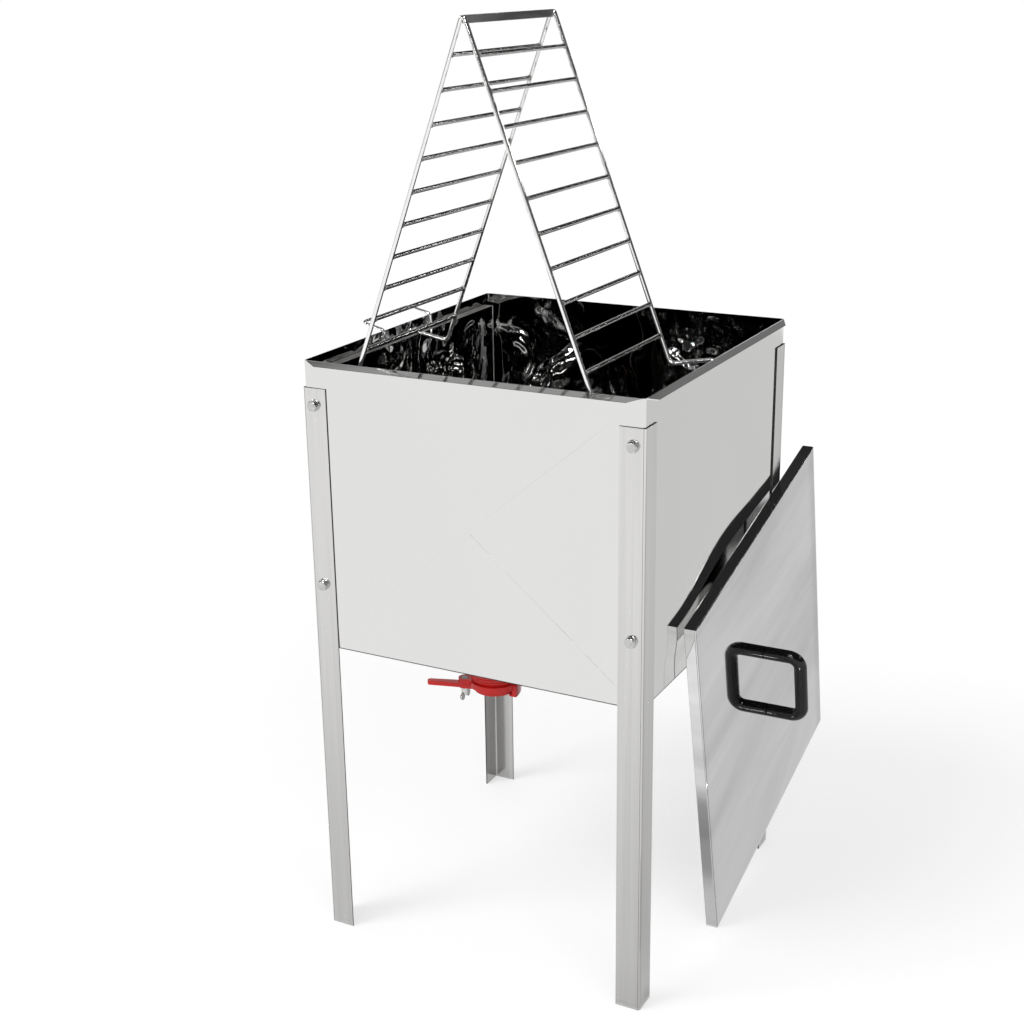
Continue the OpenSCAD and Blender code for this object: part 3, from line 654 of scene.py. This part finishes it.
def easel():
    left = [(-LEDGE_X, LEDGE_Z), (-LEDGE_X, HEEL_Z + HOOK_RISE), (-EASEL_BASE / 2, HEEL_Z),
            (0, APEX_Z)]
    outline = left + [(-x, z) for x, z in left[-2::-1]]
    radii = [TIP_R, HEEL_R, RIDGE_R, HEEL_R, TIP_R]
    for name, y in (("front", EASEL_FRONT_Y), ("rear", EASEL_FRONT_Y + EASEL_D)):
        bm = bmesh.new()
        path = rounded_path([(x, y, z) for x, z in outline], radii, steps=10)
        tube(bm, path, ROD_D / 2, sides=24)
        piece = mesh_object(f"easel_{name}_bent_rod", bm, ROD, smooth_angle=40)
        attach(piece, "easel")
        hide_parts(f"easel_{name}_rod")
    slope = EASEL_BASE / 2 / EASEL_H
    start = EASEL_FRONT_Y + ROD_D / 2 - RUNG_SINK
    end = EASEL_FRONT_Y + EASEL_D - ROD_D / 2 + RUNG_SINK
    for name, side in (("left", -1), ("right", 1)):
        bm = bmesh.new()
        welds = bmesh.new()
        for i in range(RUNGS):
            drop = FIRST_RUNG + i * RUNG_PITCH
            x, z = side * slope * drop, APEX_Z - drop
            path = [Vector((x, start + (end - start) * t / RUNG_STEPS, z))
                    for t in range(RUNG_STEPS + 1)]
            tube(bm, path, ROD_D / 2, sides=20, round_ends=False)
            for k, y in enumerate((start + BEAD_IN, end - BEAD_IN)):
                bead(welds, (x, y, z), (0, 1, 0), ROD_D / 2 - BEAD_SINK, BEAD_W, BEAD_LUMPS,
                     seed=i * 2 + k + 40 * side)
        piece = mesh_object(f"easel_{name}_rung_set", bm, RUNG, smooth_angle=40)
        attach(piece, "easel")
        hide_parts(f"easel_rungs_{name}")
        piece = mesh_object(f"easel_{name}_welds", welds, WELD, smooth_angle=60)
        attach(piece, "easel")


easel()
dressed("easel_ridge", "easel", RIDGE, width=0.6)


# Bail

def bail():
    pivot_z = LEDGE_Z + BAIL_PIVOT_H
    elbow_x = -LEDGE_X - (TANK_W / 2 - SHEET - LEDGE_X - BAIL_WIRE / 2 - 2 * SEAT_GAP) / 2
    elbow_z = RIM_Z + BAIL_WIRE / 2 + 4 * SEAT_GAP
    half = BAIL_W / 2
    pin_end = half - BAIL_BEND_R - SEAT_GAP - LUG_T - BAIL_WIRE / 2
    side = [(-LEDGE_X, pin_end, pivot_z), (-LEDGE_X, half, pivot_z), (elbow_x, half, elbow_z),
            (-LEDGE_X - BAIL_REACH, half, elbow_z + BAIL_SLOPE)]
    path = [(x, -y, z) for x, y, z in side] + side[::-1]
    radii = [BAIL_BEND_R, BAIL_ELBOW_R, BAIL_CORNER_R]
    bm = bmesh.new()
    path = rounded_path(path, radii + radii[::-1], steps=8)
    tube(bm, path, BAIL_WIRE / 2 - HAIR, sides=18)
    piece = mesh_object("bail_wire", bm, ROD, smooth_angle=40)
    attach(piece, "bail")
    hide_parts("strainer_bail")


bail()


# Lid, in its own frame: +X out of its face, its lower front corner at zero

LID_EDGE_R, LID_ARC, LID_CELLS = 2.4, 5, 40
# The step of the rounded edge that takes the darker fold steel, as a painted line of shade
FOLD_STEP = 3
# The face's crown and ripples, and the lengths over which the ripples change, in millimetres
CROWN, CROWN_RIPPLE = 0.35, 0.35
WAVE_ACROSS, WAVE_SKEW, WAVE_UP, WAVE_SEED = 150, 420, 300, 1.3
# Loops that hold the flange flat beside its fold and its hem, and the hem's rounding
HOLD_FOLD, HOLD_HEM, HEM_R, HEM_IN = 0.8, 1.0, 0.4, 0.35
# How far the handle's feet reach into the sheet
GRIP_SINK = 0.6


def lid_place():
    leg_x, leg_y = TANK_W / 2 + LEG_T, TANK_D / 2 + LEG_T
    yaw, tilt = math.radians(LID_YAW), math.radians(LID_TILT)
    lean = (leg_y - LID_FOOT_Y) * math.tan(yaw)
    x = leg_x + SEAT_GAP + lean + LID_DEPTH * math.cos(yaw)
    turned = Matrix.Rotation(yaw, 4, "Z") @ Matrix.Rotation(tilt, 4, "X")
    return Matrix.Translation(Vector((x, LID_FOOT_Y, 0)) * MM) @ turned


LID_FRAME = lid_place()


def lid_lift(y, z):
    """How far the pressed face stands out: a shallow crown with the ripples of rolled sheet."""
    u, v = y / LID_W * 2 - 1, z / LID_L * 2 - 1
    edge = max(0.0, (1 - u ** 4) * (1 - v ** 4))
    place = (y / WAVE_ACROSS + z / WAVE_SKEW, z / WAVE_UP, WAVE_SEED)
    return edge * (noise.noise(Vector(place)) * CROWN_RIPPLE - CROWN)


def lid_field(bm, x):
    """One skin of the lid's face. Returns the loop round it."""
    n = LID_CELLS
    wide, high = LID_W - 2 * LID_EDGE_R, LID_L - 2 * LID_EDGE_R
    grid = []
    for i in range(n + 1):
        row = []
        for j in range(n + 1):
            y, z = LID_EDGE_R + wide * i / n, LID_EDGE_R + high * j / n
            row.append(bm.verts.new(Vector((x + lid_lift(y, z), y, z)) * MM))
        grid.append(row)
    for i in range(n):
        for j in range(n):
            bm.faces.new((grid[i][j], grid[i + 1][j], grid[i + 1][j + 1], grid[i][j + 1]))
    return ([grid[i][0] for i in range(n)] + [grid[n][j] for j in range(n)]
            + [grid[n - i][n] for i in range(n)] + [grid[0][n - j] for j in range(n)])


def lid_loop(bm, inset, x):
    """A loop of points round the lid, with as many as its face has."""
    y0, y1, z0, z1 = inset, LID_W - inset, inset, LID_L - inset
    steps = [i / LID_CELLS for i in range(LID_CELLS)]
    points = ([(x, y0 + (y1 - y0) * t, z0) for t in steps]
              + [(x, y1, z0 + (z1 - z0) * t) for t in steps]
              + [(x, y1 - (y1 - y0) * t, z1) for t in steps]
              + [(x, y0, z1 - (z1 - z0) * t) for t in steps])
    return [bm.verts.new(Vector(p) * MM) for p in points]


def lid_sheet():
    on_face, on_edge, on_fold = range(3)
    bm = bmesh.new()
    last = lid_field(bm, 0.0)

    def join(loop, material=on_face):
        nonlocal last
        for i in range(len(loop)):
            j = (i + 1) % len(loop)
            bm.faces.new((last[i], last[j], loop[j], loop[i])).material_index = material
        last = loop

    turns = [math.pi / 2 * k / LID_ARC for k in range(LID_ARC + 1)]
    for k, a in list(enumerate(turns))[1:]:
        out = LID_EDGE_R * (1 - math.sin(a)), -LID_EDGE_R * (1 - math.cos(a))
        join(lid_loop(bm, *out), on_fold if k == FOLD_STEP else on_face)
    hem_x, hold_x, fold_x = -LID_DEPTH + HEM_R, -LID_DEPTH + HOLD_HEM, -LID_EDGE_R - HOLD_FOLD
    # The hem's rounding and the flange's cut edge take the near-black edge steel: painted shade
    for inset, x in ((0.0, fold_x), (0.0, hold_x), (0.0, hem_x), (HEM_IN, -LID_DEPTH),
                     (SHEET - HEM_IN, -LID_DEPTH), (SHEET, hem_x), (SHEET, hold_x),
                     (SHEET, fold_x), (SHEET, -LID_EDGE_R)):
        join(lid_loop(bm, inset, x), on_edge if x <= hem_x and inset > 0 else on_face)
    r = LID_EDGE_R - SHEET
    for a in turns[1:-1]:
        join(lid_loop(bm, LID_EDGE_R - r * math.cos(a), -LID_EDGE_R + r * math.sin(a)))
    join(lid_field(bm, -SHEET))
    piece = mesh_object("lid_sheet", bm, [LID, EDGE, FOLD], smooth_angle=50, place=LID_FRAME)
    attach(piece, "lid")
    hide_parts("lid_pan")


def lid_grip():
    half = GRIP_PITCH / 2
    bow = [(-GRIP_SINK, 0, -half), (GRIP_REACH, 0, -half), (GRIP_REACH, 0, half),
           (-GRIP_SINK, 0, half)]
    centre = Vector((0, LID_W / 2, LID_L / 2))
    path = [centre + p for p in rounded_path(bow, [GRIP_BEND, GRIP_BEND], steps=12)]
    bm = bmesh.new()
    tube(bm, path, GRIP_D / 2 - HAIR, sides=36)
    piece = mesh_object("lid_grip", bm, BLACK, smooth_angle=40, place=LID_FRAME)
    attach(piece, "lid")
    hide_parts("lid_handle")


lid_sheet()
lid_grip()


# Pieces that keep their solids' shape

# A leg's cut edges are about as wide as it is thick, and longer than the sides of its bolt holes
CUT_MAX_W, CUT_MIN_L = 2.1, 20
# How far the round inside of a leg's fold is sunk into the flanges and kept from the ends
BEND_SINK, BEND_STEPS = 0.3, 6


def dark_cuts(piece):
    """Gives a leg's sawn ends and the edges of its flanges the near-black edge steel: painted
    shade, as dark outlines and shadow gaps.
    """
    piece.data.materials.append(EDGE)
    for polygon in piece.data.polygons:
        corners = [piece.data.vertices[i].co for i in polygon.vertices]
        longest = max((a - b).length for a, b in zip(corners, corners[1:] + corners[:1]))
        square_on = max(abs(c) for c in polygon.normal) > STRAIGHT
        cut = abs(polygon.normal.z) > NEARLY or polygon.area / longest < CUT_MAX_W * MM
        if square_on and cut and longest > CUT_MIN_L * MM:
            polygon.material_index = 1


def inner_bend(name, material):
    """The round inside of a leg's fold, which catches the light between its two flanges."""
    low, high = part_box(name)
    sx, sy = (1 if low[k] + high[k] > 0 else -1 for k in (0, 1))
    turns = [math.pi / 2 * k / BEND_STEPS for k in range(BEND_STEPS + 1)]
    arc = [(BEND_R * (1 - math.sin(a)), BEND_R * (1 - math.cos(a))) for a in turns]
    outline = [(-BEND_SINK, -BEND_SINK), (BEND_R, -BEND_SINK)] + arc + [(-BEND_SINK, BEND_R)]
    bm = bmesh.new()
    loops = [[bm.verts.new((sx * (TANK_W / 2 - a) * MM, sy * (TANK_D / 2 - b) * MM, z))
              for a, b in outline] for z in (low[2] + BEND_SINK * MM, high[2] - BEND_SINK * MM)]
    for i in range(len(outline)):
        j = (i + 1) % len(outline)
        bm.faces.new((loops[0][i], loops[0][j], loops[1][j], loops[1][i]))
    for loop in loops:
        bm.faces.new(loop)
    piece = mesh_object(name + "_bend", bm, material, smooth_angle=40)
    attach(piece, "tank")


for name in ("leg_front_left", "leg_front_right", "leg_rear_left", "leg_rear_right"):
    finish = LEG if "front" in name else REAR_LEG
    dark_cuts(dressed(name, "tank", finish, width=0.3))
    inner_bend(name, finish)
for name, material, width in (("leg_bolts", BOLT, 0.5), ("leg_washers", BOLT, 0.3),
                              ("leg_nuts", BOLT, 0.4), ("gate_pivot_bolt", WELD, 0.3),
                              ("gate_washer", BOLT, 0.2)):
    dressed(name, "tank", material, width)
dressed("gate_body", "tank", RED, width=0.8, segments=3)
dressed("gate_shutter", "shutter", RED, width=2.0, segments=3)
dressed("gate_wing_nut", "wing_nut", BOLT, width=0.5)
for name in ("lid_handle_screws", "lid_handle_washers"):
    dressed(name, "lid", BOLT, width=0.25)
for name, material in (("tank_floor", WALL), ("rail_left", LEG), ("rail_right", LEG),
                       ("outlet_pipe", WALL), ("gate_gasket", RUBBER),
                       ("gate_face_seal", RUBBER), ("bail_lugs", LEG)):
    NODES[name].data.materials.clear()
    NODES[name].data.materials.append(material)


# Floor, light and camera, in metres and degrees

# The world's light on the object, and the floor's own tone and how far it is lifted to white
WORLD_LIGHT, FLOOR_TONE, FLOOR_GLOW = 0.5, 0.42, 0.61
FLOOR_HALF, FLOOR_ROUGH = 30, 0.9
# Soft suns: the way to them, their strength and their width
SUNS = {"key": ((-0.40, -0.52, 0.76), 1.3, 25),
        "fill": ((0.55, -0.55, 0.62), 0.6, 30),
        "low": ((-0.1, -0.97, 0.22), 0.8, 35)}
# Cards: the place, turn, half size, level, and how much of the half size is a soft edge
ROUND_CARDS = {
    "ceiling": ((0, 0, 3.0), 0, (9.5, 9.5), 0.035, 0.16),
    "ceiling_glow_front": ((-0.9, 0.3, 2.97), 0, (1.1, 1.1), 0.38, 0.5),
    "ceiling_glow_side": ((0.36, 4.8, 2.97), 0, (1.0, 1.3), 0.2, 0.4),
    "ceiling_glow_back": ((-2.9, 5.7, 2.97), 0, (1.2, 1.2), 0.5, 0.5)}
FLAT_CARDS = {
    "lamp_low": ((0.425, -0.245, 0.0045), 0, (0.03, 0.025), 70.0, 0.2),
    "shade_by_lid": ((0.20, -0.17, 0.0055), 0, (0.07, 0.1), 0.42, 0.5),
    "dark_floor_behind": ((-0.43, 1.73, 0.0065), 15, (0.14, 0.22), 0.2, 0.5),
    "grey_floor": ((1.25, 1.9, 0.003), 0, (1.35, 2.3), 0.72, 0.15)}
UPRIGHT_CARDS = {
    "flag_by_lamp": ((0.385, -0.25, 0.08), 90, (0.08, 0.08), 0.65, 0.1),
    "dark_wall_front": ((-3.8, -7.0, 1.9), -28, (4.0, 1.35), 0.03, 0.2),
    "dark_wall_back": ((3.8, 7.0, 1.9), -28, (4.0, 1.35), 0.03, 0.2),
    "dark_wall_left": ((-8.5, 2.5, 1.3), 90, (2.8, 0.75), 0.06, 0.2)}
# Lamp panels under the ceiling: x, y, turn and half size
PANEL_Z, PANEL_LEVEL, PANEL_FEATHER = 2.94, 26.0, 0.2
LAMP_PANELS = ((-3.6, -2.9, 30, 0.36, 0.5), (-0.2, -3.4, -20, 0.48, 0.32),
               (-3.2, -5.4, 40, 0.4, 0.64), (-2.7, -1.2, -50, 0.16, 0.55),
               (0.5, -1.7, 15, 0.2, 0.48), (2.7, 5.1, 20, 0.3, 0.2),
               (2.8, 3.4, -35, 0.1, 0.35), (-4.4, 1.6, 90, 0.12, 0.4),
               (0.9, -5.2, 0, 0.64, 0.32), (3.4, 1.0, 0, 0.12, 0.4))
# The photograph's camera, as fitted to the tank's corners
CAMERA_AT = (1003.2, -2013.9, 1365.5)
CAMERA_YAW, CAMERA_PITCH, CAMERA_ROLL = -28.116, 18.565, 0.9
CAMERA_LENS, CAMERA_SENSOR, CAMERA_FAR = 57.18, 36, 100


def background_rays(tree):
    """1 for the rays that see the background: from the camera, and by way of metal or glass."""
    path = node(tree, "ShaderNodeLightPath").outputs
    mirrored = maths(tree, "MAXIMUM", path["Is Glossy Ray"], path["Is Transmission Ray"])
    return maths(tree, "MAXIMUM", path["Is Camera Ray"], mirrored)


def card(name, place, turn, half, level, feather, round_edge=False, upright=False):
    """A plain card with a soft edge that only metal and gloss see, such as a dark ceiling."""
    mat = bpy.data.materials.new(name)
    mat.use_nodes = True
    tree = mat.node_tree
    tree.nodes.clear()
    where = node(tree, "ShaderNodeTexCoord").outputs["Object"]
    if round_edge:
        length = node(tree, "ShaderNodeVectorMath", operation="LENGTH")
        tree.links.new(where, length.inputs[0])
        reaches = [length.outputs["Value"]]
    else:
        split = node(tree, "ShaderNodeSeparateXYZ")
        tree.links.new(where, split.inputs[0])
        reaches = [maths(tree, "ABSOLUTE", split.outputs[axis]) for axis in "XY"]
    mask = 1.0
    for reach in reaches:
        inside = remap(tree, reach, 1.0, 0.0, (1 - feather, 1.0), "SMOOTHSTEP")
        mask = maths(tree, "MULTIPLY", mask, inside)
    clear = node(tree, "ShaderNodeBsdfTransparent")
    glow = node(tree, "ShaderNodeEmission", Strength=level)
    mixed = node(tree, "ShaderNodeMixShader")
    for socket, source in zip(mixed.inputs, (mask, clear.outputs[0], glow.outputs[0])):
        tree.links.new(source, socket)
    tree.links.new(mixed.outputs[0], node(tree, "ShaderNodeOutputMaterial").inputs["Surface"])
    mat.cycles.emission_sampling = "NONE"
    bm = bmesh.new()
    bmesh.ops.create_grid(bm, x_segments=2, y_segments=2, size=1)
    made = mesh_object(name, bm, mat)
    facing = Matrix.Rotation(math.radians(turn), 3, "Z")
    if upright:
        facing = facing @ Matrix.Rotation(math.pi / 2, 3, "X")
    made.matrix_world = Matrix.LocRotScale(
        Vector(place), facing.to_quaternion(), Vector((half[0], half[1], 1)))
    for ray in ("camera", "diffuse", "transmission", "volume_scatter", "shadow"):
        setattr(made, "visible_" + ray, False)


def studio():
    world = bpy.data.worlds.new("studio")
    bpy.context.scene.world = world
    world.use_nodes = True
    tree = world.node_tree
    back = tree.nodes["Background"]
    back.inputs["Color"].default_value = (1, 1, 1, 1)
    strength = remap(tree, background_rays(tree), WORLD_LIGHT, 1.0)
    tree.links.new(strength, back.inputs["Strength"])

    mat, tree, shader = new_material("floor_paper")
    shader.inputs["Base Color"].default_value = (FLOOR_TONE, FLOOR_TONE, FLOOR_TONE, 1)
    shader.inputs["Roughness"].default_value = FLOOR_ROUGH
    shader.inputs["Specular IOR Level"].default_value = 0.0
    shader.inputs["Emission Color"].default_value = (1, 1, 1, 1)
    strength = maths(tree, "MULTIPLY", background_rays(tree), FLOOR_GLOW)
    tree.links.new(strength, shader.inputs["Emission Strength"])
    bm = bmesh.new()
    bmesh.ops.create_grid(bm, x_segments=2, y_segments=2, size=FLOOR_HALF)
    floor = mesh_object("floor", bm, mat)

    for name, (heading, power, spread) in SUNS.items():
        lamp = bpy.data.lights.new(name, "SUN")
        lamp.energy = power
        lamp.angle = math.radians(spread)
        made = bpy.data.objects.new(name, lamp)
        bpy.context.scene.collection.objects.link(made)
        made.rotation_euler = Vector(heading).to_track_quat("Z", "Y").to_euler()
        made.visible_glossy = False

    for name, values in ROUND_CARDS.items():
        card(name, *values, round_edge=True)
    for k, (x, y, turn, half_x, half_y) in enumerate(LAMP_PANELS):
        card(f"lamp_panel_{k}", (x, y, PANEL_Z), turn, (half_x, half_y), PANEL_LEVEL,
             PANEL_FEATHER)
    for name, values in FLAT_CARDS.items():
        card(name, *values)
    for name, values in UPRIGHT_CARDS.items():
        card(name, *values, upright=True)


def camera():
    yaw, pitch, roll = (math.radians(a) for a in (CAMERA_YAW, CAMERA_PITCH, CAMERA_ROLL))
    forward = Vector((math.sin(yaw) * math.cos(pitch), math.cos(yaw) * math.cos(pitch),
                      -math.sin(pitch)))
    right = forward.cross(Vector((0, 0, 1))).normalized()
    down = forward.cross(right)
    image_right = math.cos(roll) * right + math.sin(roll) * down
    image_down = -math.sin(roll) * right + math.cos(roll) * down
    lens = bpy.data.cameras.new("camera")
    lens.sensor_width = CAMERA_SENSOR
    lens.lens = CAMERA_LENS
    lens.clip_end = CAMERA_FAR
    made = bpy.data.objects.new("camera", lens)
    bpy.context.scene.collection.objects.link(made)
    axes = Matrix((image_right, -image_down, -forward)).transposed()
    made.matrix_world = Matrix.Translation(Vector(CAMERA_AT) * MM) @ axes.to_4x4()
    bpy.context.scene.camera = made


studio()
camera()
bpy.context.scene.view_settings.view_transform = "Standard"
bpy.context.view_layer.update()
